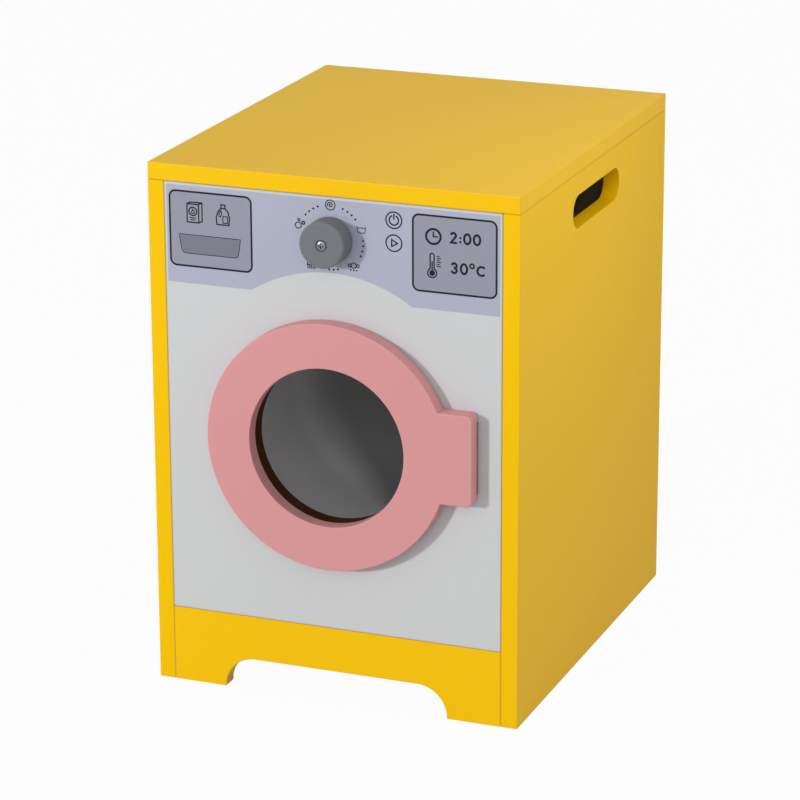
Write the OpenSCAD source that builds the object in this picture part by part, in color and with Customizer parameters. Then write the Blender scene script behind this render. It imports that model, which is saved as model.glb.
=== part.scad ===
// Toy washing machine: a painted board cabinet with a round hinged door,
// a turning programme knob and a moulded laundry tub behind the door.
// Millimetres, +Z up, front towards -Y. X = 0 is the middle of the cabinet,
// Z = 0 is the floor, and Y = 0 is halfway between the bolt head and the back.
// Inside place() Y = 0 is the front face of the cabinet instead.

/* [Cabinet] */
// Width over the two side panels
body_w = 400; // [370:1:460]
// Depth from the front face to the back face
body_d = 470; // [400:1:540]
// Height from the floor to the top face
body_h = 560; // [520:1:640]
// Thickness of the painted boards
board_t = 18; // [15:0.5:22]
// Radius of the eased edges of the painted boards and of the door
edge_ease = 0.8; // [0.4:0.1:1.2]
// Thickness of the back panel
back_t = 6; // [4:0.5:9]
// Width of the rebate that holds the back panel in each side
back_rebate = 8; // [6:0.5:9]
// Gap round the back panel in its rebates
back_gap = 0.5; // [0.2:0.1:1]

/* [Hand slots] */
// Length of a hand slot
slot_l = 150; // [110:1:170]
// Height of a hand slot
slot_h = 35; // [28:1:42]
// Drop from the top face to the middle of a hand slot
slot_drop = 59; // [54:1:80]

/* [Kick board] */
// Height of the kick board
kick_h = 82; // [70:1:100]
// Width of the arch between the feet
arch_w = 247; // [200:1:280]
// Height of the arch
arch_h = 34; // [33:1:48]
// Radius of the two upper corners of the arch
arch_r = 33; // [15:1:34]

/* [Door] */
// Drop from the top face to the centre of the door
door_drop = 276; // [265:1:290]
// Outer radius of the door ring
ring_r = 131; // [118:1:140]
// Radius of the window opening in the door ring
port_r = 84; // [70:1:90]
// How much the hole in the front panel is wider all round than the window opening
port_show = 2; // [0:0.5:5]
// Thickness of the door ring
door_t = 18; // [15:0.5:22]
// Gap between the closed door and the front panel
door_gap = 1; // [0.6:0.1:1.5]
// Reach of the hinge tab from the centre of the door
tab_reach = 157; // [145:1:160]
// Height of the hinge tab
tab_h = 96; // [88:1:110]
// Height of the middle of the tab above the centre of the door
tab_lift = 4; // [0:1:8]
// Radius of the outer corners of the tab
tab_r = 6; // [2:0.5:9]

/* [Window] */
// Thickness of the window pane
pane_t = 3; // [2:0.5:4]
// Width of the ledge that the pane rests on
pane_ledge = 8; // [7:0.5:10]
// Gap round the pane in its rebate
pane_gap = 0.5; // [0.2:0.1:1]
// Number of screws round the pane
pane_screws = 6; // [4:1:8]

/* [Hinge] */
// Height of the hinge
hinge_h = 75; // [60:1:80]
// Width of a leaf, measured from the pin's axis
leaf_w = 20; // [17:0.5:22]
// Thickness of a leaf
leaf_t = 1; // [0.8:0.1:1.4]
// Outer radius of the knuckles
knuckle_r = 2.2; // [2:0.1:2.5]
// Radius of the hinge pin
pin_r = 1; // [0.8:0.1:1.2]
// Distance of the pin's axis in front of the panel
pin_off = 2.9; // [2.9:0.1:3.6]
// Distance of the pin's axis inside the tab's edge
pin_inset = 1.6; // [1.2:0.1:1.8]
// Height between neighbouring leaf screws
leaf_pitch = 28; // [20:1:30]

/* [Catch] */
// Radius of the magnet in the door
magnet_r = 6; // [4:0.5:8]
// Thickness of the magnet
magnet_t = 4; // [2:0.5:6]
// Radius of the steel strike plate
strike_r = 8; // [7:0.5:10]
// Thickness of the strike plate
strike_t = 1.5; // [1.2:0.1:2]

/* [Tub] */
// Inner radius of the tub
tub_r = 120; // [105:1:126]
// Depth of the tub behind the front panel
tub_d = 220; // [160:1:280]
// Wall of the tub
tub_wall = 3; // [2:0.5:4]
// Radius where the tub's wall turns into its floor, measured inside
tub_round = 70; // [40:1:90]
// Width of the tub's flange beyond its wall
flange_w = 17; // [14:1:20]
// Radius of the rolled rim on the flange
rim_r = 2.5; // [2:0.5:4]
// Number of screws round the flange
flange_screws = 6; // [4:1:10]

/* [Controls] */
// Drop from the top face to the knob's axis
knob_drop = 62; // [60:1:70]
// Radius of the knob
knob_r = 24; // [18:0.5:28]
// Length of the knob
knob_l = 24; // [18:0.5:28]
// Radius of the knob's rounded front edge
knob_edge = 2.5; // [1:0.5:4]
// Radius of the knob's bolt
bolt_r = 2.5; // [2:0.25:3]
// Radius of the bolt head
bolt_head_r = 5; // [4.5:0.5:6]
// Height of the bolt head
bolt_head_h = 3; // [2.5:0.5:4]
// Depth of the recess round the bolt head
head_recess = 2; // [1:0.5:2.5]
// Thickness of the printed film on the control panel
film_t = 0.3; // [0.2:0.1:0.5]
// Height of the printed film
film_h = 102; // [90:1:105]
// Bare edge between the film and the boards round it
film_edge = 3; // [1:0.5:6]
// Radius of the curve in the film's lower edge
film_curve_r = 155; // [140:1:180]
// Drop from the knob's axis to the top of that curve
film_curve_drop = 34.5; // [31:0.5:40]

/* [Joints of the cabinet] */
// Distance of the outer top dowels from the front and from the back
dowel_edge = 30; // [24:1:36]
// Distance of the inner top dowels from the front and from the back
inner_dowel_edge = 95; // [88:1:105]
// Distance of the cams from the front and from the back
cam_edge = 62; // [56:1:68]
// Distance of the bottom board's dowels from the front and from the back
base_dowel_edge = 110; // [90:1:150]
// Distance of the front panel's dowels from its upper and lower edge
front_dowel_edge = 40; // [30:1:60]
// Distance of the kick board's dowels from its upper and lower edge
kick_dowel_edge = 20; // [14:1:24]
// Distance of the back panel's side screws from the joints above and below
back_screw_edge = 20; // [12:1:40]
// Number of back panel screws on each side
back_screw_rows = 4; // [3:1:6]
// Distance of the back panel's lower screws from the side panels
base_screw_edge = 62; // [30:1:90]

/* [Fasteners] */
// Radius of the wooden dowels
dowel_r = 4; // [3:0.5:4]
// Length of the wooden dowels
dowel_l = 30; // [26:1:36]
// Length of a dowel in the board that it enters flat on
dowel_bite = 10; // [8:1:12]
// Radius of the cam locks
cam_r = 7.5; // [6:0.5:9]
// Distance of a cam's centre from the joint
cam_reach = 34; // [28:1:38]
// Radius of the threaded end of a cam bolt
cam_bolt_r = 3; // [2.5:0.25:3.5]
// Length of the threaded end of a cam bolt
cam_bite = 11; // [9:0.5:12]
// Diameter of the countersunk wood screws
screw_d = 3; // [2.5:0.1:3.5]
// Diameter of their heads
screw_head_d = 6; // [5:0.1:6.5]
// Length of the hinge and strike screws
screw_l = 10; // [8:0.5:12]
// Length of the back panel screws
back_screw_l = 16; // [14:0.5:20]

/* [Hidden] */
$fn = 96;

// Clearances
running = 0.06;
axial_play = 0.1;
glue_space = 1;
cut_over = 1;
small_fn = 48;
bolt_clear = 0.25;
head_clear = 1;
cam_bolt_clear = 0.5;
cam_floor = 0.5;

// Places of the boards
inner_x = body_w / 2 - board_t;
under_top = body_h - board_t;
slot_z = body_h - slot_drop;
rebate_y = body_d - back_t;

// Door and window
door_z = body_h - door_drop;
door_back_y = -door_gap;
door_front_y = door_back_y - door_t;
tab_z = door_z + tab_lift;
pane_seat_r = port_r + pane_ledge;
pane_r = pane_seat_r - pane_gap;
pane_screw_r = port_r + pane_ledge / 2;
pane_screw_d = 2.2;
pane_screw_head_d = 4.4;
pane_screw_l = 10;

// Hinge: five knuckles, three on the cabinet leaf and two on the door leaf
pin_x = tab_reach - pin_inset;
knuckle_count = 5;
knuckle_pitch = hinge_h / knuckle_count;
knuckle_gap = 0.3;
leaf_clear = 0.4;
leaf_screw_x = pin_x - leaf_w / 2 - knuckle_r / 2;
leaf_screw_zs = [for (k = [-1, 0, 1]) tab_z + k * leaf_pitch];
hinge_clear = 0.5;

// Catch, on the side of the ring away from the hinge
catch_x = -(pane_seat_r + ring_r) / 2;

// Tub
flange_r = tub_r + tub_wall + flange_w;
flange_screw_r = tub_r + tub_wall + (flange_w - rim_r) / 2;
pan_head_r = 3.2;
pan_head_h = 2.2;
pan_cross_d = 1.2;
tub_screw_l = 14;

// Knob stack, counted outwards from the front face
knob_z = body_h - knob_drop;
washer_t = 1;
washer_rim = 1.5;
washer_r = bolt_head_r + washer_rim;
knob_back_y = -film_t - washer_t - axial_play;
knob_front_y = knob_back_y - knob_l;
head_seat_y = knob_front_y + head_recess - axial_play;
head_top_y = head_seat_y - bolt_head_h;
nut_h = 5;
nut_r = bolt_r * 1.85;
bolt_past_nut = 2;
bolt_end_y = board_t + washer_t + nut_h + bolt_past_nut;
film_curve_z = knob_z - film_curve_drop - film_curve_r;

// The bolt head is the foremost point, so it sets the middle of the depth
front_y = -(body_d + head_top_y) / 2;

// Fastener places
top_dowel_ys = [dowel_edge, inner_dowel_edge, body_d - inner_dowel_edge, body_d - dowel_edge];
cam_ys = [cam_edge, body_d - cam_edge];
base_dowel_ys = [base_dowel_edge, body_d - base_dowel_edge];
front_dowel_zs = [kick_h + front_dowel_edge, under_top - front_dowel_edge];
kick_dowel_zs = [kick_dowel_edge, kick_h - kick_dowel_edge];
base_mid_z = kick_h - board_t / 2;
side_mid_x = inner_x + board_t / 2;
cam_depth = board_t / 2 + cam_bolt_r + cam_floor;
back_screw_low_z = kick_h + back_screw_edge;
back_screw_pitch = (under_top - back_screw_edge - back_screw_low_z) / (back_screw_rows - 1);
back_screw_zs = [for (k = [0 : back_screw_rows - 1]) back_screw_low_z + k * back_screw_pitch];
back_screw_xs = [base_screw_edge - inner_x, 0, inner_x - base_screw_edge];
rebate_mid_x = inner_x + back_rebate / 2;

paint_yellow = [0.96, 0.76, 0.12];
paint_pink = [0.86, 0.58, 0.58];
panel_white = [0.86, 0.86, 0.86];
zinc = [0.72, 0.73, 0.75];

module place() {
    translate([0, front_y, 0]) children();
}

// A flat outline drawn in X and Z, from depth y0 back to depth y1
module slab(y0, y1) {
    translate([0, y1, 0]) rotate([90, 0, 0]) linear_extrude(y1 - y0) children();
}

// A round bar or bore along Y
module bar_y(r, x, z, y0, y1, fn = small_fn) {
    translate([x, y1, z]) rotate([90, 0, 0]) cylinder(r = r, h = y1 - y0, $fn = fn);
}

// A turned piece whose outline is drawn as radius and depth
module turned_y(x, z) {
    translate([x, 0, z]) rotate([-90, 0, 0]) rotate_extrude() children();
}

// Rectangle between two corners, with rounded corners
module soft_rectangle(low, high, r) {
    size = high - low;
    translate(low + [r, 0]) square([size.x - 2 * r, size.y]);
    translate(low + [0, r]) square([size.x, size.y - 2 * r]);
    for (u = [low.x + r, high.x - r], v = [low.y + r, high.y - r])
        translate([u, v]) circle(r = r, $fn = small_fn);
}

// Block between two corners with the four edges along one axis eased
module eased_block(axis, low, high) {
    if (axis == "x")
        translate([low.x, 0, 0]) rotate([90, 0, 90]) linear_extrude(high.x - low.x)
            soft_rectangle([low.y, low.z], [high.y, high.z], edge_ease);
    if (axis == "y")
        translate([0, high.y, 0]) rotate([90, 0, 0]) linear_extrude(high.y - low.y)
            soft_rectangle([low.x, low.z], [high.x, high.z], edge_ease);
    if (axis == "z")
        translate([0, 0, low.z]) linear_extrude(high.z - low.z)
            soft_rectangle([low.x, low.y], [high.x, high.y], edge_ease);
}

// Board between two corners with the edges round both its faces eased
module eased_board(thin, low, high) {
    along = [for (axis = ["x", "y", "z"]) if (axis != thin) axis];
    intersection() {
        eased_block(along[0], low, high);
        eased_block(along[1], low, high);
    }
}

module both_sides() {
    children();
    mirror([1, 0, 0]) children();
}

module in_ring(count, r, z) {
    for (k = [0 : count - 1]) {
        turn = 360 * (k + 0.5) / count;
        translate([r * cos(turn), 0, z + r * sin(turn)]) children();
    }
}

// Dowel along Z, with the joint at z = 0 and the short end up
module dowel_pin() {
    ease = 1;
    translate([0, 0, dowel_bite - dowel_l]) {
        cylinder(r1 = dowel_r - ease, r2 = dowel_r, h = ease, $fn = small_fn);
        translate([0, 0, ease]) cylinder(r = dowel_r, h = dowel_l - 2 * ease, $fn = small_fn);
        translate([0, 0, dowel_l - ease])
            cylinder(r1 = dowel_r, r2 = dowel_r - ease, h = ease, $fn = small_fn);
    }
}

module dowel_bore() {
    translate([0, 0, dowel_bite - dowel_l - glue_space])
        cylinder(r = dowel_r, h = dowel_l + 2 * glue_space, $fn = small_fn);
}

// Places of the dowels, each with its short end along its own +Z
module at_top_dowels() {
    both_sides() for (y = top_dowel_ys)
        translate([side_mid_x, y, under_top]) children();
}

module at_front_dowels() {
    both_sides() for (z = concat(kick_dowel_zs, front_dowel_zs))
        translate([inner_x, board_t / 2, z]) rotate([0, 90, 0]) children();
}

module at_bottom_dowels() {
    both_sides() for (y = base_dowel_ys)
        translate([inner_x, y, base_mid_z]) rotate([0, 90, 0]) children();
}

// Places of the cam joints, each with the bolt's thread along its own +Z
module at_top_cams() {
    both_sides() for (y = cam_ys)
        translate([side_mid_x, y, under_top]) children();
}

module at_bottom_cams() {
    both_sides() for (y = cam_ys)
        translate([inner_x, y, base_mid_z]) rotate([0, 90, 0]) children();
}

// Cam bolt: threaded end up, round head in the cam below
module cam_bolt() {
    shank_r = cam_bolt_r * 0.8;
    head_r = cam_bolt_r * 1.1;
    cylinder(r = cam_bolt_r, h = cam_bite, $fn = small_fn);
    translate([0, 0, -cam_reach]) cylinder(r = shank_r, h = cam_reach, $fn = small_fn);
    translate([0, 0, -cam_reach]) sphere(r = head_r, $fn = small_fn);
}

// Bore in the board that takes the bolt's thread
module cam_thread_bore() {
    translate([0, 0, -cut_over]) cylinder(r = cam_bolt_r, h = cam_bite + cut_over, $fn = small_fn);
}

// Wider bore in the board that holds the cam
module cam_shank_bore() {
    translate([0, 0, -cam_reach])
        cylinder(r = cam_bolt_r + cam_bolt_clear, h = cam_reach + cut_over, $fn = small_fn);
}

// Solid of a cam, square to the board's face, which lies along -X, or its bore with the cutter past that face
module cam_body(past_face = 0) {
    translate([-board_t / 2 - past_face, 0, -cam_reach]) rotate([0, 90, 0])
        cylinder(r = cam_r, h = cam_depth + past_face, $fn = small_fn);
}

// Cam lock, cut open for the bolt's neck and head and for a screwdriver
module cam_lock() {
    cross_l = cam_r;
    cross_w = 1.4;
    cross_d = 2.5;
    difference() {
        cam_body();
        translate([0, 0, -cam_reach])
            cylinder(r = cam_bolt_r + 0.2, h = cam_r + cut_over, $fn = small_fn);
        translate([0, 0, -cam_reach]) sphere(r = cam_bolt_r * 1.35, $fn = small_fn);
        for (turn = [0, 90])
            translate([-board_t / 2, 0, -cam_reach]) rotate([turn, 0, 0])
                cube([2 * cross_d, cross_w, cross_l], center = true);
    }
}

// Countersunk wood screw: flat of the head at z = 0, point along +Z
module screw_body(d, head_d, l) {
    sink = (head_d - d) / 2;
    tip = d;
    cylinder(r1 = head_d / 2, r2 = d / 2, h = sink, $fn = small_fn);
    translate([0, 0, sink]) cylinder(r = d / 2, h = l - sink - tip, $fn = small_fn);
    translate([0, 0, l - tip]) cylinder(r1 = d / 2, r2 = d / 8, h = tip, $fn = small_fn);
}

// Hole for a countersunk screw, open past the flat of its head
module screw_hole(d, head_d, l) {
    screw_body(d, head_d, l);
    translate([0, 0, -cut_over]) cylinder(r = head_d / 2, h = cut_over, $fn = small_fn);
}

module cross_recess(head_d, depth) {
    for (turn = [0, 90]) rotate(turn)
        cube([head_d * 0.6, head_d * 0.13, 2 * depth], center = true);
}

module wood_screw(d, head_d, l) {
    difference() {
        screw_body(d, head_d, l);
        cross_recess(head_d, head_d * 0.22);
    }
}

// Pan head screw of the tub, pointing forward into the front panel
module tub_screw_body() {
    rotate([90, 0, 0]) {
        translate([0, 0, -pan_head_h]) cylinder(r = pan_head_r, h = pan_head_h, $fn = small_fn);
        cylinder(r = screw_d / 2, h = tub_screw_l - screw_d, $fn = small_fn);
        translate([0, 0, tub_screw_l - screw_d])
            cylinder(r1 = screw_d / 2, r2 = screw_d / 8, h = screw_d, $fn = small_fn);
    }
}

module at_tub_screws() {
    in_ring(flange_screws, flange_screw_r, door_z)
        translate([0, board_t + tub_wall, 0]) children();
}

module at_window_screws() {
    in_ring(pane_screws, pane_screw_r, door_z)
        translate([0, door_back_y, 0]) rotate([90, 0, 0]) children();
}

module at_cabinet_leaf_screws() {
    for (z = leaf_screw_zs)
        translate([leaf_screw_x, -leaf_t, z]) rotate([-90, 0, 0]) children();
}

module at_door_leaf_screws() {
    for (z = leaf_screw_zs)
        translate([leaf_screw_x, leaf_t - 2 * pin_off, z]) rotate([90, 0, 0]) children();
}

module at_strike_screw() {
    translate([catch_x, 0, door_z]) rotate([-90, 0, 0]) children();
}

module at_back_screws() {
    both_sides() for (z = back_screw_zs)
        translate([rebate_mid_x, body_d, z]) rotate([90, 0, 0]) children();
    for (x = back_screw_xs)
        translate([x, body_d, base_mid_z]) rotate([90, 0, 0]) children();
}

module leaf_screw() {
    wood_screw(screw_d, screw_head_d, screw_l);
}

module leaf_screw_hole() {
    screw_hole(screw_d, screw_head_d, screw_l);
}

module pane_screw_hole() {
    screw_hole(pane_screw_d, pane_screw_head_d, pane_screw_l);
}

module back_screw_hole() {
    screw_hole(screw_d, screw_head_d, back_screw_l);
}

// Cabinet boards

module top_panel() {
    color(paint_yellow) place() difference() {
        eased_board("z", [-body_w / 2, 0, under_top], [body_w / 2, body_d, body_h]);
        at_top_dowels() dowel_bore();
        at_top_cams() cam_thread_bore();
    }
}

// Long slot with half-round ends, cut through a side panel
module hand_slot() {
    end_r = slot_h / 2;
    mid_y = body_d / 2;
    translate([inner_x - cut_over, 0, slot_z]) {
        translate([0, mid_y - slot_l / 2 + end_r, -end_r])
            cube([board_t + 2 * cut_over, slot_l - 2 * end_r, slot_h]);
        for (s = [-1, 1])
            translate([0, mid_y + s * (slot_l / 2 - end_r), 0]) rotate([0, 90, 0])
                cylinder(r = end_r, h = board_t + 2 * cut_over);
    }
}

// Right side panel; the left one is its mirror image
module side_board() {
    difference() {
        eased_board("x", [inner_x, 0, 0], [body_w / 2, body_d, under_top]);
        hand_slot();
        translate([inner_x - cut_over, rebate_y, kick_h - board_t])
            cube([back_rebate + cut_over, back_t + cut_over, body_h]);
        at_top_dowels() dowel_bore();
        at_front_dowels() dowel_bore();
        at_bottom_dowels() dowel_bore();
        at_top_cams() cam_shank_bore();
        at_top_cams() cam_body(cut_over);
        at_bottom_cams() cam_thread_bore();
        at_back_screws() back_screw_hole();
    }
}

module right_side_panel() {
    color(paint_yellow) place() side_board();
}

module left_side_panel() {
    color(paint_yellow) place() mirror([1, 0, 0]) side_board();
}

module front_panel() {
    color(panel_white) place() difference() {
        eased_board("y", [-inner_x, 0, kick_h], [inner_x, board_t, under_top]);
        bar_y(port_r + port_show, 0, door_z, -cut_over, board_t + cut_over, $fn);
        bar_y(bolt_r + bolt_clear, 0, knob_z, -cut_over, board_t + cut_over);
        bar_y(strike_r, catch_x, door_z, -cut_over, strike_t);
        at_strike_screw() leaf_screw_hole();
        at_cabinet_leaf_screws() leaf_screw_hole();
        at_tub_screws() tub_screw_body();
        at_front_dowels() dowel_bore();
    }
}

// Flat-topped arch with large rounded corners
module arch_outline() {
    corner_x = arch_w / 2 - arch_r;
    translate([-corner_x, -cut_over]) square([2 * corner_x, arch_h + cut_over]);
    translate([-arch_w / 2, -cut_over]) square([arch_w, arch_h - arch_r + cut_over]);
    for (s = [-1, 1]) translate([s * corner_x, arch_h - arch_r]) circle(r = arch_r);
}

module kick_board() {
    color(paint_yellow) place() difference() {
        eased_board("y", [-inner_x, 0, 0], [inner_x, board_t, kick_h]);
        slab(-cut_over, board_t + cut_over) arch_outline();
        at_front_dowels() dowel_bore();
    }
}

module bottom_panel() {
    color("dimgray") place() difference() {
        translate([-inner_x, board_t, kick_h - board_t])
            cube([2 * inner_x, rebate_y - board_t, board_t]);
        at_bottom_dowels() dowel_bore();
        at_bottom_cams() cam_shank_bore();
        at_bottom_cams() rotate([0, 0, 180]) cam_body(cut_over);
        at_back_screws() back_screw_hole();
    }
}

module back_panel() {
    half_w = inner_x + back_rebate - back_gap;
    low_z = kick_h - board_t + back_gap;
    color("tan") place() difference() {
        translate([-half_w, rebate_y, low_z]) cube([2 * half_w, back_t, under_top - low_z]);
        at_back_screws() back_screw_hole();
    }
}

// Joinery

module top_dowels() {
    color("burlywood") place() at_top_dowels() dowel_pin();
}

module front_dowels() {
    color("burlywood") place() at_front_dowels() dowel_pin();
}

module bottom_dowels() {
    color("burlywood") place() at_bottom_dowels() dowel_pin();
}

module cam_locks() {
    color(zinc) place() {
        at_top_cams() cam_lock();
        at_bottom_cams() rotate([0, 0, 180]) cam_lock();
    }
}

module cam_bolts() {
    color(zinc) place() {
        at_top_cams() cam_bolt();
        at_bottom_cams() cam_bolt();
    }
}

module back_panel_screws() {
    color(zinc) place() at_back_screws() wood_screw(screw_d, screw_head_d, back_screw_l);
}

// Printed film, cut to a curve over the door
module control_film() {
    color([0.68, 0.69, 0.77]) place() slab(-film_t, 0) difference() {
        translate([film_edge - inner_x, under_top - film_edge - film_h])
            square([2 * (inner_x - film_edge), film_h]);
        translate([0, film_curve_z]) circle(r = film_curve_r);
        translate([0, knob_z]) circle(r = bolt_r + bolt_clear, $fn = small_fn);
    }
}

// Tub: flange with a rolled rim, straight wall and a floor with a wide round

module tub_outline() {
    end_y = board_t + tub_d;
    mid_y = end_y - tub_round;
    difference() {
        union() {
            translate([0, board_t]) square([tub_r + tub_wall, mid_y - board_t]);
            translate([0, mid_y]) square([tub_r - tub_round, tub_round + tub_wall]);
            intersection() {
                translate([tub_r - tub_round, mid_y]) circle(r = tub_round + tub_wall);
                translate([0, mid_y]) square([tub_r + tub_wall, tub_round + tub_wall]);
            }
            translate([tub_r, board_t]) square([tub_wall + flange_w - rim_r, tub_wall]);
            intersection() {
                translate([flange_r - rim_r, board_t]) circle(r = rim_r, $fn = small_fn);
                translate([tub_r, board_t]) square([tub_wall + flange_w, rim_r]);
            }
        }
        translate([-cut_over, board_t - cut_over])
            square([tub_r + cut_over, mid_y - board_t + cut_over]);
        translate([-cut_over, mid_y - cut_over])
            square([tub_r - tub_round + cut_over, tub_round + cut_over]);
        translate([tub_r - tub_round, mid_y]) circle(r = tub_round);
    }
}

module laundry_tub() {
    color([0.62, 0.63, 0.65]) place() difference() {
        turned_y(0, door_z) tub_outline();
        at_tub_screws() tub_screw_body();
    }
}

module tub_screws() {
    color(zinc) place() at_tub_screws() difference() {
        tub_screw_body();
        translate([0, pan_head_h, 0]) rotate([90, 0, 0]) cross_recess(2 * pan_head_r, pan_cross_d);
    }
}

// Magnetic catch

module strike_plate() {
    color(zinc) place() difference() {
        bar_y(strike_r, catch_x, door_z, 0, strike_t);
        at_strike_screw() leaf_screw_hole();
    }
}

module strike_screw() {
    color(zinc) place() at_strike_screw() leaf_screw();
}

module door_magnet() {
    color([0.5, 0.5, 0.52]) place()
        bar_y(magnet_r, catch_x, door_z, door_back_y - magnet_t, door_back_y);
}

// Door

// Turned ring with eased edges
module ring_body() {
    turned_y(0, door_z)
        soft_rectangle([port_r, door_front_y], [ring_r, door_back_y], edge_ease);
}

// Hinge tab, rooted in the ring, with round outer corners and eased edges
module tab_body() {
    root_x = (port_r + ring_r) / 2;
    corner_x = tab_reach - tab_r;
    half_h = tab_h / 2;
    corner_z = half_h - tab_r;
    eased_block("x", [root_x, door_front_y, tab_z - half_h], [corner_x, door_back_y, tab_z + half_h]);
    eased_block("z", [root_x, door_front_y, tab_z - corner_z], [tab_reach, door_back_y, tab_z + corner_z]);
    for (s = [-1, 1]) turned_y(corner_x, tab_z + s * corner_z) intersection() {
        soft_rectangle([-tab_r, door_front_y], [tab_r, door_back_y], edge_ease);
        translate([0, door_front_y]) square([tab_r, door_t]);
    }
}

// Pocket in the back of the tab that takes both leaves and the knuckles
module hinge_pocket() {
    pocket_h = hinge_h + 2 * hinge_clear;
    low_x = pin_x - leaf_w - hinge_clear;
    translate([low_x, -2 * pin_off, tab_z - pocket_h / 2])
        cube([tab_reach - low_x + cut_over, 2 * pin_off, pocket_h]);
}

module door_ring() {
    color(paint_pink) place() difference() {
        union() {
            ring_body();
            tab_body();
        }
        bar_y(pane_seat_r, 0, door_z, door_back_y - pane_t, 0, $fn);
        bar_y(magnet_r, catch_x, door_z, door_back_y - magnet_t, 0);
        hinge_pocket();
        at_window_screws() pane_screw_hole();
        at_door_leaf_screws() leaf_screw_hole();
    }
}

module door_window() {
    color([0.25, 0.26, 0.27, 0.6]) place() difference() {
        bar_y(pane_r, 0, door_z, door_back_y - pane_t, door_back_y, $fn);
        at_window_screws() pane_screw_hole();
    }
}

module window_screws() {
    color(zinc) place() at_window_screws()
        wood_screw(pane_screw_d, pane_screw_head_d, pane_screw_l);
}

// Hinge, drawn closed. Knuckles are counted from the bottom.

function knuckle_z(k) = tab_z - hinge_h / 2 + k * knuckle_pitch + knuckle_gap / 2;

module knuckle(k, r) {
    translate([pin_x, -pin_off, knuckle_z(k)])
        cylinder(r = r, h = knuckle_pitch - knuckle_gap, $fn = small_fn);
}

// Curled end that joins a knuckle to the leaf on its mounting side
module curl(k) {
    translate([pin_x - knuckle_r - leaf_clear, -leaf_t, knuckle_z(k)])
        cube([knuckle_r + leaf_clear, leaf_t, knuckle_pitch - knuckle_gap]);
    translate([pin_x - knuckle_r, -pin_off, knuckle_z(k)])
        cube([knuckle_r, pin_off, knuckle_pitch - knuckle_gap]);
}

// One leaf lying on the panel, with the knuckles that are listed
module leaf(knuckles, bore_r) {
    difference() {
        union() {
            translate([pin_x - leaf_w, -leaf_t, tab_z - hinge_h / 2])
                cube([leaf_w - knuckle_r - leaf_clear, leaf_t, hinge_h]);
            for (k = knuckles) {
                knuckle(k, knuckle_r);
                curl(k);
            }
        }
        for (k = knuckles) {
            translate([pin_x, -pin_off, knuckle_z(k) - cut_over])
                cylinder(r = bore_r, h = knuckle_pitch + 2 * cut_over, $fn = small_fn);
        }
    }
}

module hinge_cabinet_leaf() {
    color(zinc) place() difference() {
        leaf([0, 2, 4], pin_r);
        at_cabinet_leaf_screws() leaf_screw_hole();
    }
}

module hinge_door_leaf() {
    color(zinc) place() difference() {
        translate([0, -2 * pin_off, 0]) mirror([0, 1, 0]) leaf([1, 3], pin_r + running);
        at_door_leaf_screws() leaf_screw_hole();
    }
}

module hinge_pin() {
    color(zinc) place() translate([pin_x, -pin_off, tab_z - hinge_h / 2])
        cylinder(r = pin_r, h = hinge_h, $fn = small_fn);
}

module hinge_cabinet_screws() {
    color(zinc) place() at_cabinet_leaf_screws() leaf_screw();
}

module hinge_door_screws() {
    color(zinc) place() at_door_leaf_screws() leaf_screw();
}

// Programme knob

module knob_outline() {
    back_ease = 0.8;
    round_y = knob_front_y + knob_edge;
    difference() {
        union() {
            translate([0, round_y]) square([knob_r, knob_l - knob_edge - back_ease]);
            translate([0, knob_front_y]) square([knob_r - knob_edge, knob_edge]);
            intersection() {
                translate([knob_r - knob_edge, round_y]) circle(r = knob_edge, $fn = small_fn);
                translate([0, knob_front_y]) square([knob_r, knob_edge]);
            }
            polygon([
                [0, knob_back_y - back_ease],
                [knob_r, knob_back_y - back_ease],
                [knob_r - back_ease, knob_back_y],
                [0, knob_back_y]
            ]);
        }
        translate([-cut_over, knob_front_y - cut_over])
            square([bolt_r + running + cut_over, knob_l + 2 * cut_over]);
        translate([-cut_over, knob_front_y - cut_over])
            square([bolt_head_r + head_clear + cut_over, head_recess + cut_over]);
    }
}

module knob() {
    color([0.47, 0.48, 0.49]) place() turned_y(0, knob_z) knob_outline();
}

// Bolt with a domed head, held by the nut behind the panel
module knob_bolt_outline() {
    dome = 1;
    translate([0, head_seat_y]) square([bolt_r, bolt_end_y - head_seat_y]);
    translate([0, head_top_y + dome]) square([bolt_head_r, bolt_head_h - dome]);
    polygon([
        [0, head_top_y],
        [bolt_head_r * 0.55, head_top_y],
        [bolt_head_r * 0.85, head_top_y + dome * 0.4],
        [bolt_head_r, head_top_y + dome],
        [0, head_top_y + dome]
    ]);
}

module knob_bolt() {
    color(zinc) place() difference() {
        turned_y(0, knob_z) knob_bolt_outline();
        translate([0, head_top_y, knob_z]) rotate([-90, 0, 0])
            cross_recess(2 * bolt_head_r, bolt_head_h * 0.6);
    }
}

module washer(y0) {
    color(zinc) place() difference() {
        bar_y(washer_r, 0, knob_z, y0, y0 + washer_t);
        bar_y(bolt_r, 0, knob_z, y0 - cut_over, y0 + washer_t + cut_over);
    }
}

module knob_front_washer() {
    washer(-film_t - washer_t);
}

module knob_rear_washer() {
    washer(board_t);
}

module knob_lock_nut() {
    color(zinc) place() difference() {
        bar_y(nut_r, 0, knob_z, board_t + washer_t, board_t + washer_t + nut_h, 6);
        bar_y(bolt_r, 0, knob_z, board_t, bolt_end_y + cut_over);
    }
}

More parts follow.
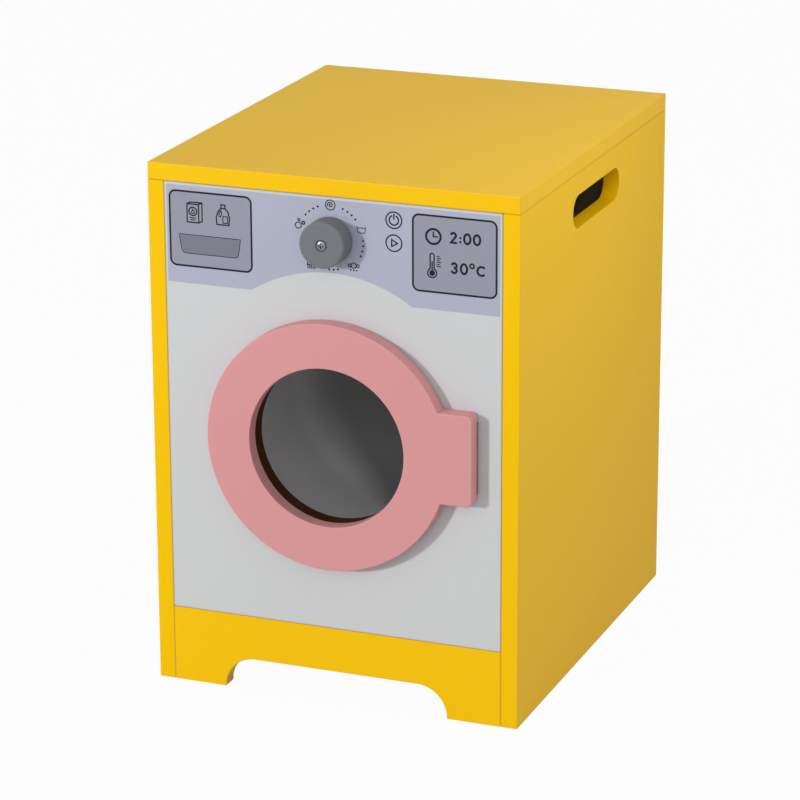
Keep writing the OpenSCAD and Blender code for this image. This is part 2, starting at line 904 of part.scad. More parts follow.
top_panel();
left_side_panel();
right_side_panel();
front_panel();
kick_board();
bottom_panel();
back_panel();
top_dowels();
front_dowels();
bottom_dowels();
cam_locks();
cam_bolts();
back_panel_screws();
control_film();
laundry_tub();
tub_screws();
strike_plate();
strike_screw();
door_ring();
door_window();
window_screws();
door_magnet();
hinge_cabinet_leaf();
hinge_door_leaf();
hinge_pin();
hinge_cabinet_screws();
hinge_door_screws();
knob();
knob_bolt();
knob_front_washer();
knob_rear_washer();
knob_lock_nut();
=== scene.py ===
import math

import bmesh
import bpy
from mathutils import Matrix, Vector
from mathutils.geometry import delaunay_2d_cdt

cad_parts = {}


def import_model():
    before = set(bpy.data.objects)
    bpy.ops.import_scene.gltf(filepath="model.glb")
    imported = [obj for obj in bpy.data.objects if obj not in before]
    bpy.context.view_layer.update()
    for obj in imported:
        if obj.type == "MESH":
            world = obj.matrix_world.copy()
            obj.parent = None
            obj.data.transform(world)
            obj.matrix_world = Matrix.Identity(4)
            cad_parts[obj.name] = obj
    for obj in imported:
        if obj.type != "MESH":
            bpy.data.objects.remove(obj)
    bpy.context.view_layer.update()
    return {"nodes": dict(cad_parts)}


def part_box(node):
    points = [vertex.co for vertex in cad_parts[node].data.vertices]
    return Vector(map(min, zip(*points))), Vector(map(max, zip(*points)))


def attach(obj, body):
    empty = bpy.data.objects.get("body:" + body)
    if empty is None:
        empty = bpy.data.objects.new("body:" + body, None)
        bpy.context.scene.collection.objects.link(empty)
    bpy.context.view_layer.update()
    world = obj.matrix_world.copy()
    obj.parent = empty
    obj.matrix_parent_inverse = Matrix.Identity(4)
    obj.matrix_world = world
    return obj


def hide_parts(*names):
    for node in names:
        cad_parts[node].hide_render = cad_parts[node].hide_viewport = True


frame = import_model()

MM = 0.001
SCENE = bpy.context.scene

# How far the dressed boards stay inside the solids that they stand for
SEAM = 0.02 * MM
ROUND_SEAM = 0.16 * MM

# Closer than this, two points are one
SLIVER = 0.001 * MM

# Radius of the eased edges, and of the boards' corners, which is larger so that the edges can follow them
BOARD_EASE = 1.0 * MM
INNER_BOARD_EASE = 0.4 * MM
HOLE_EASE = 0.5 * MM
DOOR_EASE = 1.3 * MM
CORNER_R = 1.3 * MM


# Colours

def srgb(red, green, blue):
    """A screen colour from 0 to 255 as the linear colour that a shader takes."""
    def linear(value):
        share = value / 255
        return share / 12.92 if share <= 0.04045 else ((share + 0.055) / 1.055) ** 2.4
    return (linear(red), linear(green), linear(blue), 1.0)


def toned(colour, share):
    """The same colour, lighter or darker by a share."""
    return tuple(min(1.0, c * share) for c in colour[:3]) + (1.0,)


YELLOW = srgb(249, 198, 6)
WHITE = srgb(206, 208, 209)
PINK = srgb(217, 152, 153)
KNOB_GREY = srgb(109, 111, 116)
FILM = srgb(172, 175, 193)
FRAME_FILL = srgb(145, 147, 162)
DRAWER_FILL = srgb(115, 118, 131)
INK = srgb(21, 21, 36)
# Brown of the board's cut edge, darkened as painted shade
BORE_SHADED_BROWN = srgb(76, 42, 2)
# Pale tub plastic, and the darker grey of the painted shade on its floor
TUB_WALL = srgb(238, 238, 238)
TUB_FLOOR_SHADE = srgb(152, 152, 152)
LAMINATE = srgb(120, 121, 123)
COATING = srgb(230, 237, 246)
HARDBOARD = srgb(146, 108, 72)
BEECH = srgb(214, 178, 132)
ACRYLIC = srgb(44, 46, 48)
ZINC = srgb(196, 199, 204)
BRONZE = srgb(150, 122, 98)
NICKEL = srgb(190, 186, 178)
BOLT_STEEL = srgb(132, 138, 148)

# What wear turns a paint towards, and the colour of the painted shade along the joints between boards
RUBBED = srgb(255, 240, 205)
RUBBED_KNOB = srgb(190, 190, 192)
JOINT_SHADE = srgb(110, 72, 20)
JOINT_REACH = 1.5 * MM


# Shader expressions

def math_operator(operation, swapped=False):
    """One of Python's operators, as a Math node on two values."""
    def apply(self, other):
        values = (other, self) if swapped else (self, other)
        return self.math(operation, *values)
    return apply


class Wire:
    """The output of a node, on which Python's operators add Math nodes."""

    def __init__(self, finish, socket):
        self.finish = finish
        self.socket = socket

    def math(self, operation, *values):
        made = self.finish.node("ShaderNodeMath", {"operation": operation}, dict(enumerate(values)))
        return Wire(self.finish, made.outputs[0])

    __add__ = math_operator("ADD")
    __radd__ = math_operator("ADD", swapped=True)
    __sub__ = math_operator("SUBTRACT")
    __rsub__ = math_operator("SUBTRACT", swapped=True)
    __mul__ = math_operator("MULTIPLY")
    __rmul__ = math_operator("MULTIPLY", swapped=True)
    __truediv__ = math_operator("DIVIDE")
    __rtruediv__ = math_operator("DIVIDE", swapped=True)
    __pow__ = math_operator("POWER")
    __rpow__ = math_operator("POWER", swapped=True)

    def size(self):
        return self.math("ABSOLUTE", self)

    def sine(self):
        return self.math("SINE", self)

    def at_least(self, other):
        return self.math("MAXIMUM", self, other)

    def at_most(self, other):
        return self.math("MINIMUM", self, other)

    def held(self):
        """The value kept between 0 and 1."""
        return self.at_least(0.0).at_most(1.0)


class Finish:
    """The nodes of a material, or of the studio's light."""

    def __init__(self, name, owner=None):
        self.owner = owner or bpy.data.materials.new(name)
        self.owner.use_nodes = True
        self.tree = self.owner.node_tree
        self.tree.nodes.clear()

    def node(self, kind, settings=None, sockets=None):
        """A node from its type, its settings, and the values or links of its sockets."""
        made = self.tree.nodes.new(kind)
        for name, value in (settings or {}).items():
            setattr(made, name, value)
        for name, value in (sockets or {}).items():
            if isinstance(value, Wire):
                self.tree.links.new(value.socket, made.inputs[name])
            else:
                made.inputs[name].default_value = value
        return made

    def wire(self, kind, settings=None, sockets=None, out=0):
        return Wire(self, self.node(kind, settings, sockets).outputs[out])

    def place(self):
        """The point in the piece's own frame, in metres, which moves with the piece."""
        return self.wire("ShaderNodeTexCoord", out="Object")

    def along(self, point):
        """The three numbers of a point."""
        parts = self.node("ShaderNodeSeparateXYZ", {}, {0: point})
        return [Wire(self, out) for out in parts.outputs]

    def noise(self, point, scale, detail=2.0, rough=0.5):
        """Noise from 0 to 1, with scale ripples to the metre."""
        return self.wire("ShaderNodeTexNoise", {"noise_dimensions": "3D"},
                         {"Vector": point, "Scale": scale, "Detail": detail, "Roughness": rough})

    def mix(self, share, first, second):
        """A colour between two others."""
        return self.wire("ShaderNodeMix", {"data_type": "RGBA"}, {0: share, 6: first, 7: second}, out=2)

    def bump(self, height, depth, strength):
        return self.wire("ShaderNodeBump", {}, {"Height": height, "Distance": depth, "Strength": strength})

    def surface(self, sockets):
        """The finished material, from the sockets of its Principled shader."""
        self.close(self.wire("ShaderNodeBsdfPrincipled", {}, sockets))
        return self.owner

    def close(self, shader):
        """Ends the material with its shader."""
        self.node("ShaderNodeOutputMaterial", {}, {"Surface": shader})

    def eased(self, axis):
        """1 in the middle of the rounded edges of a plate that is thin along an axis, 0 on its faces."""
        lean = self.along(self.wire("ShaderNodeTexCoord", out="Normal"))["xyz".index(axis)] ** 2.0
        return (4.0 * lean * (1.0 - lean)).held()

    def close_to(self, point, planes, reach):
        """1 on the planes, which are given as (axis, position), falling to 0 over a reach."""
        parts = dict(zip("xyz", self.along(point)))
        gaps = [(parts[axis] - position).size() for axis, position in planes]
        nearest = gaps[0]
        for gap in gaps[1:]:
            nearest = nearest.at_most(gap)
        return (1.0 - nearest / reach).held()

    def clear_way(self):
        """1 for rays from the lens, off mirrors and through glass, 0 for the rest."""
        path = self.node("ShaderNodeLightPath")
        lens, mirror, glass = [Wire(self, path.outputs[ray])
                               for ray in ("Is Camera Ray", "Is Glossy Ray", "Is Transmission Ray")]
        return lens.at_least(mirror).at_least(glass)


# Finishes

def satin_paint(name, colour, axis, joints=(), joint_shade=0.2, sheen=0.13):
    """Sprayed satin paint on board: a faint orange peel, slow drift of tone, bare edges, and painted shade
    that darkens it along the joints.
    """
    f = Finish(name)
    point = f.place()
    drift = f.noise(point, 5.0, 3.0)
    cloud = f.noise(point, 60.0, 4.0, 0.6)
    peel = f.noise(point, 700.0, 3.0, 0.55)
    grit = f.noise(point, 2600.0, 1.0)
    edge = f.eased(axis) * (0.35 + 0.65 * cloud).held()
    deep = f.mix(drift, toned(colour, 0.968), toned(colour, 1.012))
    mottled = f.mix(cloud * 0.35, deep, toned(colour, 0.985))
    painted = f.mix(edge * 0.1, mottled, RUBBED)
    # Painted shade: the paint darkens within a reach of the joints with other boards
    if joints:
        painted = f.mix(f.close_to(point, joints, JOINT_REACH) * joint_shade, painted, JOINT_SHADE)
    rough = 0.46 + (drift - 0.5) * 0.05 + (cloud - 0.5) * 0.06 + edge * 0.07
    height = peel * 0.8 + grit * 0.2 + cloud * 1.4
    return f.surface({
        "Base Color": painted,
        "Roughness": rough,
        "Normal": f.bump(height, 0.03 * MM, 0.55),
        "IOR": 1.42,
        "Specular IOR Level": sheen,
    })


def raw_edge():
    """Cut edge of the fibre board, its brown made dark as painted shade for the shade inside the door's
    opening.
    """
    f = Finish("sealed_board_edge")
    point = f.place()
    fibre = f.noise(point, 420.0, 5.0, 0.7)
    blotch = f.noise(point, 40.0, 3.0)
    colour = f.mix(fibre, toned(BORE_SHADED_BROWN, 0.62), toned(BORE_SHADED_BROWN, 1.25))
    return f.surface({
        "Base Color": f.mix(blotch * 0.4, colour, toned(BORE_SHADED_BROWN, 0.7)),
        "Roughness": 0.62 + 0.2 * fibre,
        "Normal": f.bump(fibre, 0.12 * MM, 0.7),
        "Specular IOR Level": 0.08,
    })


def hardboard():
    """Pressed fibre board, smooth and brown."""
    f = Finish("hardboard")
    point = f.place()
    stretched = f.wire("ShaderNodeMapping", {}, {"Vector": point, "Scale": (1.0, 1.0, 0.35)})
    fibre = f.noise(stretched, 330.0, 5.0, 0.7)
    cloud = f.noise(point, 7.0, 3.0)
    tone = f.mix(cloud, toned(HARDBOARD, 0.9), toned(HARDBOARD, 1.08))
    return f.surface({
        "Base Color": f.mix(fibre, toned(HARDBOARD, 0.72), tone),
        "Roughness": 0.6 + 0.15 * fibre,
        "Normal": f.bump(fibre, 0.05 * MM, 0.6),
        "Specular IOR Level": 0.2,
    })


def knob_paint(centre):
    """Matt paint on turned wood, with faint rings from the lathe."""
    f = Finish("knob_paint")
    point = f.place()
    x, _, z = f.along(point)
    out = ((x - centre[0]) ** 2.0 + (z - centre[1]) ** 2.0) ** 0.5
    rings = (out * 5200.0 + f.noise(point, 90.0) * 2.5).sine()
    cloud = f.noise(point, 160.0, 4.0, 0.6)
    grain = f.noise(point, 1500.0, 2.0)
    edge = f.eased("y")
    tone = f.mix(cloud, toned(KNOB_GREY, 0.94), toned(KNOB_GREY, 1.04))
    return f.surface({
        "Base Color": f.mix(edge * 0.04, tone, RUBBED_KNOB),
        "Roughness": 0.52 + 0.1 * cloud,
        "Normal": f.bump(grain * 0.6 + cloud * 0.5 + rings * 0.12, 0.04 * MM, 0.6),
        "Specular IOR Level": 0.35,
    })


def printed_film(name, colour):
    """Printed vinyl film with a fine calendered grain."""
    f = Finish(name)
    point = f.place()
    grain = f.noise(point, 1900.0, 2.0)
    wave = f.noise(point, 22.0, 2.0)
    tone = f.mix(wave, toned(colour, 0.975), toned(colour, 1.01))
    return f.surface({
        "Base Color": f.mix(grain * 0.12, tone, toned(colour, 0.93)),
        "Roughness": 0.42 + (grain - 0.5) * 0.08,
        "Normal": f.bump(grain * 0.4 + wave * 2.0, 0.02 * MM, 0.5),
        "Specular IOR Level": 0.35,
    })


def ink():
    """Print ink, a little uneven in cover."""
    f = Finish("print_ink")
    cover = f.noise(f.place(), 900.0, 2.0)
    return f.surface({
        "Base Color": f.mix(cover, toned(INK, 0.9), toned(INK, 1.15)),
        "Roughness": 0.46 + 0.1 * cover,
        "Specular IOR Level": 0.15,
    })


def tub_plastic():
    """Moulded pale plastic with a fine spark texture, and painted shade that darkens it towards the floor,
    reaching further up the wall on the right side.
    """
    f = Finish("tub_plastic")
    point = f.place()
    x, y, _ = f.along(point)
    # Painted shade: the plastic darkens from its wall towards its floor, and starts higher up the wall on
    # the right
    left_end, width, shade_creep = -85 * MM, 90 * MM, 60 * MM
    full_shade_depth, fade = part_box("laundry_tub")[1].y - 8 * MM, 52 * MM
    to_the_right = ((x - left_end) / width).held()
    share = ((full_shade_depth - y - shade_creep * to_the_right * to_the_right) / fade).held()
    out_of_shade = share * share * (3.0 - 2.0 * share)
    spark = f.noise(point, 1300.0, 2.0)
    wash = f.noise(point, 14.0, 3.0)
    tone = f.mix(out_of_shade, TUB_FLOOR_SHADE, TUB_WALL)
    return f.surface({
        "Base Color": f.mix(wash * 0.1, tone, toned(TUB_FLOOR_SHADE, 0.9)),
        "Roughness": 0.55 + 0.1 * spark,
        "Normal": f.bump(spark, 0.01 * MM, 0.3),
        "Specular IOR Level": 0.3,
    })


def clear_sheet():
    """Lightly smoked acrylic with faint wipe marks in its gloss."""
    f = Finish("smoked_acrylic")
    point = f.place()
    wipe = f.noise(point, 30.0, 4.0, 0.65)
    return f.surface({
        "Base Color": f.mix(wipe, toned(ACRYLIC, 0.95), toned(ACRYLIC, 1.05)),
        "Roughness": 0.05 + 0.07 * wipe,
        "Alpha": 0.05,
        "IOR": 1.49,
        "Specular IOR Level": 0.05,
    })


def steel(name, colour, rough):
    """Plated steel with fine handling marks."""
    f = Finish(name)
    point = f.place()
    cloud = f.noise(point, 380.0, 4.0, 0.65)
    scratch = f.noise(point, 2400.0, 2.0)
    return f.surface({
        "Base Color": f.mix(cloud, toned(colour, 0.82), toned(colour, 1.08)),
        "Metallic": 1.0,
        "Roughness": rough + 0.16 * cloud,
        "Normal": f.bump(scratch * 0.6 + cloud, 0.015 * MM, 0.5),
    })


def laminate(name, colour):
    """Laminate with a pressed pearl grain."""
    f = Finish(name)
    point = f.place()
    pearl = f.noise(point, 850.0, 3.0, 0.6)
    cloud = f.noise(point, 9.0, 3.0)
    tone = f.mix(cloud, toned(colour, 0.92), toned(colour, 1.08))
    return f.surface({
        "Base Color": f.mix(pearl * 0.3, tone, toned(colour, 1.35)),
        "Roughness": 0.5 + 0.18 * pearl,
        "Normal": f.bump(pearl, 0.05 * MM, 0.7),
        "Specular IOR Level": 0.35,
    })


def beech():
    """Bare beech of the dowels, with its grain along the dowel."""
    f = Finish("beech")
    point = f.place()
    stretched = f.wire("ShaderNodeMapping", {}, {"Vector": point, "Scale": (1.0, 1.0, 0.12)})
    grain = f.noise(stretched, 900.0, 4.0, 0.6)
    return f.surface({
        "Base Color": f.mix(grain, toned(BEECH, 0.8), toned(BEECH, 1.08)),
        "Roughness": 0.55 + 0.2 * grain,
        "Normal": f.bump(grain, 0.06 * MM, 0.6),
    })


# Outlines: closed loops of points in the plane of a board

def filleted(corners, steps):
    """A loop through corners given as (u, v, radius), each turned into an arc."""
    loop = []
    count = len(corners)
    for i, (u, v, radius) in enumerate(corners):
        corner = Vector((u, v))
        before = (Vector(corners[i - 1][:2]) - corner).normalized()
        after = (Vector(corners[(i + 1) % count][:2]) - corner).normalized()
        half = before.angle(after) / 2
        centre = corner + (before + after).normalized() * (radius / math.sin(half))
        start = corner + before * (radius / math.tan(half)) - centre
        end = corner + after * (radius / math.tan(half)) - centre
        swing = start.angle_signed(end)
        for k in range(steps + 1):
            turn = -swing * k / steps
            swung = Vector((start.x * math.cos(turn) - start.y * math.sin(turn),
                            start.x * math.sin(turn) + start.y * math.cos(turn)))
            loop.append(centre + swung)
    return loop


def rectangle(low_u, low_v, high_u, high_v, radius, steps):
    """A rectangle with rounded corners."""
    return filleted([(low_u, low_v, radius), (high_u, low_v, radius),
                     (high_u, high_v, radius), (low_u, high_v, radius)], steps)


def arc(centre, radius, start, end, steps):
    """Points on an arc, angles in degrees."""
    points = []
    for k in range(steps + 1):
        turn = math.radians(start + (end - start) * k / steps)
        points.append(Vector((centre[0] + radius * math.cos(turn), centre[1] + radius * math.sin(turn))))
    return points


def ring(centre, radius, steps):
    """A full circle, with its first point not repeated."""
    return arc(centre, radius, 0, 360, steps)[:-1]


def inset(loop, distance):
    """The loop moved to its left by a distance, with mitred corners."""
    least_cosine = 0.3
    moved = []
    count = len(loop)
    for i, point in enumerate(loop):
        into = (point - loop[i - 1]).normalized()
        away = (loop[(i + 1) % count] - point).normalized()
        left_in = Vector((-into.y, into.x))
        left_out = Vector((-away.y, away.x))
        bisector = (left_in + left_out).normalized()
        moved.append(point + bisector * (distance / max(least_cosine, bisector.dot(left_in))))
    return moved


# Meshes

# For each way that a board lies, the axes along its two sides and through its thickness
LAYS = {
    "along x": (1, 2, 0),
    "along y": (0, 2, 1),
    "along z": (0, 1, 2),
}

# Angle between faces, in degrees, up to which they are shaded as one
SMOOTH_UP_TO = 38.0

# A face looks along an axis when this much of its normal does
FACING = 0.9


def laid(lay, u, v, w):
    """The point with two parts in the plane of a board and one through its thickness."""
    point = [0.0, 0.0, 0.0]
    for axis, part in zip(LAYS[lay], (u, v, w)):
        point[axis] = part
    return point


def link_object(name, bm):
    """A new object in the scene, from a finished mesh."""
    mesh = bpy.data.meshes.new(name)
    bm.to_mesh(mesh)
    bm.free()
    made = bpy.data.objects.new(name, mesh)
    SCENE.collection.objects.link(made)
    return made


def add_piece(name, bm, materials, body, replaced=()):
    """Puts a finished mesh in the scene, on its body, and hides the CAD nodes that it stands in for."""
    piece = link_object(name, bm)
    for material in materials:
        piece.data.materials.append(material)
    shade(piece)
    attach(piece, body)
    if replaced:
        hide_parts(*replaced)
    return piece


def shade(piece):
    """Smooth shading that keeps flat faces flat, with no normals carried over from a cutter."""
    mesh = piece.data
    carried = mesh.attributes.get("custom_normal")
    if carried:
        mesh.attributes.remove(carried)
    mesh.shade_smooth()
    mesh.set_sharp_from_angle(angle=math.radians(SMOOTH_UP_TO))
    weighted = piece.modifiers.new("flat_faces_stay_flat", "WEIGHTED_NORMAL")
    weighted.keep_sharp = True
    weighted.weight = 100


def eased_plate(outline, holes, low, high, ease, lay, hole_ease=None):
    """A plate between two depths with rounded edges on every loop. Walls of the holes get material 1."""
    rounds = 4
    bm = bmesh.new()
    caps = {"low": [], "high": []}
    for number, loop in enumerate([outline] + [list(reversed(hole)) for hole in holes]):
        soft = hole_ease if number and hole_ease else ease
        turns = [math.radians(90 * k / rounds) for k in range(rounds + 1)]
        levels = [(soft * (1 - math.cos(t)), low + soft * (1 - math.sin(t))) for t in reversed(turns)]
        levels += [(soft * (1 - math.cos(t)), high - soft * (1 - math.sin(t))) for t in turns]
        rows = []
        for way_in, depth in levels:
            rows.append([bm.verts.new(laid(lay, p.x, p.y, depth)) for p in inset(loop, way_in)])
        count = len(loop)
        for k, (near, far) in enumerate(zip(rows, rows[1:])):
            for i in range(count):
                face = bm.faces.new((near[i], near[(i + 1) % count], far[(i + 1) % count], far[i]))
                face.material_index = 1 if number and k == rounds else 0
        for side, row in (("low", rows[0]), ("high", rows[-1])):
            caps[side] += [bm.edges.get((row[i], row[(i + 1) % count])) for i in range(count)]
    for edges in caps.values():
        bmesh.ops.triangle_fill(bm, use_beauty=True, edges=edges)
    bmesh.ops.recalc_face_normals(bm, faces=bm.faces)
    return bm


def welded_copy(node):
    """A closed copy of a CAD node's mesh, for cutting with."""
    bm = bmesh.new()
    bm.from_mesh(frame["nodes"][node].data)
    bmesh.ops.remove_doubles(bm, verts=bm.verts, dist=2 * SLIVER)
    return link_object("cutter", bm)


def combine(bm, operation, cutter):
    """The mesh cut by, or kept inside, another object, which is then thrown away."""
    blank = link_object("blank", bm)
    for _ in range(2):
        blank.data.materials.append(bpy.data.materials.new("blank"))
    modifier = blank.modifiers.new("combine", "BOOLEAN")
    modifier.operation = operation
    modifier.solver = "EXACT"
    modifier.object = cutter
    made = blank.evaluated_get(bpy.context.evaluated_depsgraph_get()).to_mesh()
    result = bmesh.new()
    result.from_mesh(made)
    for used in (blank, cutter):
        bpy.data.objects.remove(used)
    for material in [m for m in bpy.data.materials if m.name.startswith("blank")]:
        bpy.data.materials.remove(material)
    return result


def with_bores(bm, node):
    """The plate with the bores and pockets that its CAD board has."""
    return combine(bm, "INTERSECT", welded_copy(node))


def turned(profile, centre, steps):
    """A closed mesh turned about Y, from (radius, depth) points on or off the axis."""
    bm = bmesh.new()
    rows = []
    for radius, depth in profile:
        if radius <= 0:
            rows.append([bm.verts.new((centre[0], depth, centre[1]))])
            continue
        rows.append([bm.verts.new((p.x, depth, p.y)) for p in ring(centre, radius, steps)])
    for near, far in zip(rows, rows[1:] + rows[:1]):
        if len(near) > 1 or len(far) > 1:
            join_rows(bm, near, far)
    bmesh.ops.recalc_face_normals(bm, faces=bm.faces)
    return bm


def join_rows(bm, near, far):
    """Faces between two rings of points, either of which may be a single point on the axis."""
    count = max(len(near), len(far))
    for i in range(count):
        j = (i + 1) % count
        if len(near) == 1:
            bm.faces.new((near[0], far[j], far[i]))
        elif len(far) == 1:
            bm.faces.new((near[i], near[j], far[0]))
        else:
            bm.faces.new((near[i], near[j], far[j], far[i]))


# Print on the control film, drawn in millimetres across and up the panel

def stroke(points, width, closed=False):
    """A line of even width with round ends, as polygons that may overlap."""
    least_cosine = 0.5
    points = [Vector(p) for p in points]
    count = len(points)
    sides = []
    for i, point in enumerate(points):
        into = points[i] - points[i - 1] if closed or i else points[1] - points[0]
        away = points[(i + 1) % count] - point if closed or i < count - 1 else into
        square_in = Vector((-into.y, into.x)).normalized()
        square_away = Vector((-away.y, away.x)).normalized()
        normal = (square_in + square_away).normalized()
        reach = width / 2 / max(least_cosine, normal.dot(square_in))
        sides.append((point + normal * reach, point - normal * reach))
    polygons = []
    for i in range(count if closed else count - 1):
        (a, b), (c, d) = sides[i], sides[(i + 1) % count]
        polygons.append([a, b, d, c])
    if not closed:
        polygons += [ring(points[0], width / 2, 12), ring(points[-1], width / 2, 12)]
    return polygons


def dot(centre, radius):
    """A small filled circle."""
    return [ring(centre, radius, 20)]


def hoop(centre, radius, width, steps=48):
    """A circle drawn in line."""
    return stroke(ring(centre, radius, steps), width, closed=True)


def printed(name, polygons, material, back, thickness):
    """Flat print on the panel, from polygons that are melted together."""
    one_point, one_plane = 1e-5, 0.01
    points, faces = [], []
    for polygon in polygons:
        area = sum(a.x * b.y - b.x * a.y for a, b in zip(polygon, polygon[1:] + polygon[:1]))
        ordered = polygon if area > 0 else list(reversed(polygon))
        faces.append(list(range(len(points), len(points) + len(ordered))))
        points += ordered
    flat, _, triangles, _, _, covered_by = delaunay_2d_cdt(points, [], faces, 1, one_point, True)
    bm = bmesh.new()
    front = back - thickness
    verts = [bm.verts.new((p.x * MM, front, p.y * MM)) for p in flat]
    for triangle, cover in zip(triangles, covered_by):
        if cover:
            bm.faces.new([verts[i] for i in triangle])
    loose = [v for v in bm.verts if not v.link_faces]
    bmesh.ops.delete(bm, geom=loose, context="VERTS")
    bmesh.ops.dissolve_limit(bm, angle_limit=one_plane, verts=bm.verts, edges=bm.edges)
    walls = [e for e in bm.edges if len(e.link_faces) == 1]
    grown = bmesh.ops.extrude_edge_only(bm, edges=walls)
    for vert in [g for g in grown["geom"] if isinstance(g, bmesh.types.BMVert)]:
        vert.co.y = back
    bmesh.ops.recalc_face_normals(bm, faces=bm.faces)
    if sum(f.normal.y for f in bm.faces if abs(f.normal.y) > FACING) > 0:
        bmesh.ops.reverse_faces(bm, faces=bm.faces)
    return add_piece(name, bm, [material], "cabinet")


def shifted(points, across, up, scale=1.0):
    """Points given about their own zero, scaled and put in their place."""
    return [Vector((across + scale * x, up + scale * z)) for x, z in points]


def figures(row, foot):
    """Strokes of a row of figures on one foot line, given as (figure, left edge)."""
    shapes = {
        "0": [Vector((0.33 + 0.66 * p.x, 0.5 + p.y)) for p in ring((0, 0), 0.5, 36)],
        "2": arc((0.28, 0.7424), 0.2576, 155, -35, 12) + [Vector((0.02, 0)), Vector((0.56, 0))],
        "3": arc((0.2576, 0.745), 0.255, 150, -75, 12) + arc((0.2464, 0.27), 0.27, 75, -150, 12),
        "C": arc((0.45, 0.45), 0.45, 56, 304, 18),
    }
    drawn = []
    for figure, across in row:
        drawn += stroke(shifted(shapes[figure], across, foot, FIGURE_H), BOLD_LINE, closed=figure == "0")
    return drawn


def spiral(centre, radius, turns):
    """Points that wind outwards from close to the centre."""
    steps, start_turn, start_share = 60, 60, 0.18
    points = []
    for k in range(steps + 1):
        share = k / steps
        turn = math.radians(360 * turns * share + start_turn)
        reach = radius * (start_share + (1 - start_share) * share)
        points.append((centre[0] + reach * math.cos(turn), centre[1] + reach * math.sin(turn)))
    return points


# Thickness of the printed fields and of the ink on them
FILL_T = 0.02 * MM
DRAWER_T = 0.032 * MM
INK_T = 0.05 * MM

# Widths of the printed lines
FRAME_LINE = 2.0
BOLD_LINE = 2.3
HAND_LINE = 1.5
SIGN_LINE = 1.4
FINE_LINE = 1.05
THIN_LINE = 0.75

# Fields: their left and right edges, top and foot
FRAME_TOP = 533.0
FRAME_FOOT = 455.2
FRAME_R = 6.5
SOAP_FRAME = (-175.6, -86.0)
DISPLAY_FRAME = (87.8, 175.6)
DRAWER_TOP = 488.1
DRAWER_FOOT = 468.5
DRAWER_UPPER_EDGE = (-165.8, -98.0)
DRAWER_LOWER_EDGE = (-162.7, -100.8)

# Middles of the pictures and signs
POWDER_BOX = (-147.9, 511.9)
BOTTLE = (-117.1, 512.3)
POWER_SIGN = (67.7, 524.4)
START_SIGN = (67.7, 501.0)
BUTTON_R = 8.4
CLOCK = (109.4, 511.9)
THERMOMETER = (108.1, 482.5)

# Figures on the display
FIGURE_H = 9.9
TIME_FOOT = 507.7
TIME_FIGURES = (("2", 127.7), ("0", 141.7), ("0", 151.8))
COLON = ((137.8, 508.9), (137.8, 513.1))
COLON_R = 1.15
HEAT_FOOT = 476.9
HEAT_FIGURES = (("3", 128.8), ("0", 138.3))
HEAT_UNIT = (("C", 155.6),)
DEGREE = (150.0, 485.6)
DEGREE_R = 2.2
DEGREE_LINE = 1.7

# Dial: where its signs stand, and where its dots start, step and end, in degrees round the knob
DIAL = (0.0, 498.0)
DIAL_R = 35.6
SIGN_TURNS = (90, 158.5, 233.3, 313.6, 381.8)
DOT_R = 1.1
DOT_STEP = 8.9
DOT_RUNS = ((4, 41.0, 35.4), (4, 112.4, 35.4), (4, -23.4, 35.0), (3, -93.6, 31.0))


def on_dial(turn, radius):
    """A place round the knob."""
    angle = math.radians(turn)
    return DIAL[0] + radius * math.cos(angle), DIAL[1] + radius * math.sin(angle)


def frame_outline(edges):
    """Outline of a field between two edges."""
    left, right = edges
    return rectangle(left, FRAME_FOOT, right, FRAME_TOP, FRAME_R, 8)


def drawer_outline():
    """Drawer front, narrower at its foot."""
    foot_r, top_r = 4.6, 0.6
    return filleted([
        (DRAWER_LOWER_EDGE[0], DRAWER_FOOT, foot_r), (DRAWER_LOWER_EDGE[1], DRAWER_FOOT, foot_r),
        (DRAWER_UPPER_EDGE[1], DRAWER_TOP, top_r), (DRAWER_UPPER_EDGE[0], DRAWER_TOP, top_r),
    ], 6)


def dial_dots():
    """Four runs of dots round the knob."""
    dots = []
    for count, start, radius in DOT_RUNS:
        for k in range(count):
            dots += dot(on_dial(start + k * DOT_STEP, radius), DOT_R)
    return dots


def dial_signs():
    """One sign for each programme."""
    signs = []
    for sign, turn in zip((spin_sign, bubble_sign, brush_sign, shower_sign, wash_sign), SIGN_TURNS):
        signs += sign(*on_dial(turn, DIAL_R))
    return signs


def control_print(film_face):
    """Fields, dial marks, signs and figures on the film, in the order that they are printed."""
    dark = ink()
    frame_fill = printed_film("frame_fill", FRAME_FILL)
    drawer_fill = printed_film("drawer_fill", DRAWER_FILL)
    soap, display, drawer = frame_outline(SOAP_FRAME), frame_outline(DISPLAY_FRAME), drawer_outline()

    printed("print_soap_frame_fill", [soap], frame_fill, film_face, FILL_T)
    printed("print_display_fill", [display], frame_fill, film_face, FILL_T)
    printed("print_drawer_fill", [drawer], drawer_fill, film_face, DRAWER_T)

    marks = (
        ("print_soap_frame", stroke(soap, FRAME_LINE, True)),
        ("print_display_frame", stroke(display, FRAME_LINE, True)),
        ("print_drawer_line", stroke(drawer, THIN_LINE, True)),
        ("print_powder_box", powder_box(*POWDER_BOX)),
        ("print_bottle", bottle(*BOTTLE)),
        ("print_dial_dots", dial_dots()),
        ("print_dial_signs", dial_signs()),
        ("print_power_sign", power_sign(*POWER_SIGN)),
        ("print_start_sign", start_sign(*START_SIGN)),
        ("print_clock", clock(*CLOCK)),
        ("print_thermometer", thermometer(*THERMOMETER)),
        ("print_time_figures", time_figures()),
        ("print_heat_figures", heat_figures()),
    )
    for name, polygons in marks:
        printed(name, polygons, dark, film_face, INK_T)


